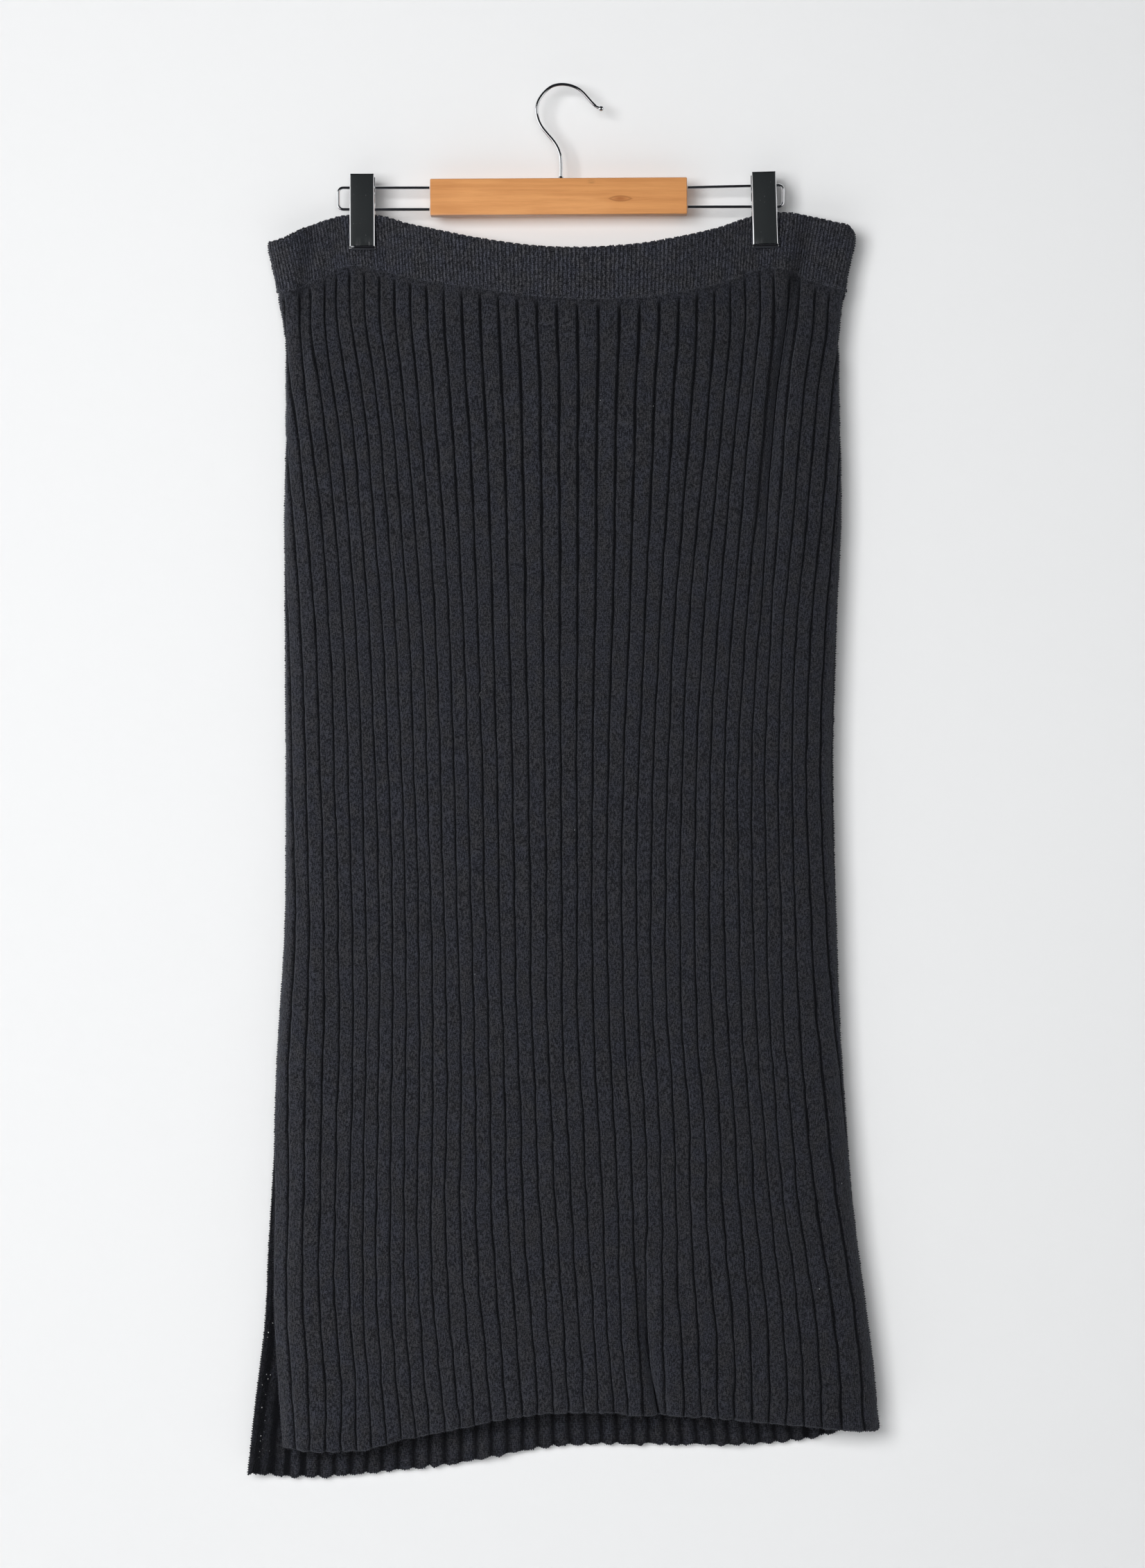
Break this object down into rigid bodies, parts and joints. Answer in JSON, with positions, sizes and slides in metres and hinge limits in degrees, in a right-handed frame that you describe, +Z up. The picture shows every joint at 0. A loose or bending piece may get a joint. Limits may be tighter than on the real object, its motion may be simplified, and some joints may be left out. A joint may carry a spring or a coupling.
{
  "type": "midi skirt on a clip hanger",
  "caption": "Rib-knit midi skirt, an open tube with a fine-rib waistband and one side slit, hanging flat from a wooden clip hanger with a wire hook.",
  "frame": {"origin": "the inside top of the hook, where a rail carries the hanger", "axes": "+Z up, the front of the skirt faces -Y, +X to the right seen from the front"},
  "size_m": [0.456, 0.037, 1.009],
  "materials": {
    "knit": "soft brushed rib knit",
    "wood": "satin, fine grain",
    "chrome": "polished",
    "black": "semi-gloss",
    "rubber": "matt"
  },
  "bodies": {
    "root": {"front_panel": "knit", "back_panel": "knit", "waistband_front": "knit", "waistband_back": "knit", "hanger_block": "wood", "hook": "chrome", "hook_ferrule": "chrome", "hanger_wire_left": "chrome", "hanger_wire_right": "chrome", "clip_left_jaw_front": "chrome", "clip_left_jaw_back": "chrome", "clip_left_cover_front": "black", "clip_left_cover_back": "black", "clip_left_pad_front": "rubber", "clip_left_pad_back": "rubber", "clip_left_sleeve": "chrome", "clip_right_jaw_front": "chrome", "clip_right_jaw_back": "chrome", "clip_right_cover_front": "black", "clip_right_cover_back": "black", "clip_right_pad_front": "rubber", "clip_right_pad_back": "rubber", "clip_right_sleeve": "chrome"}
  },
  "joints": []
}
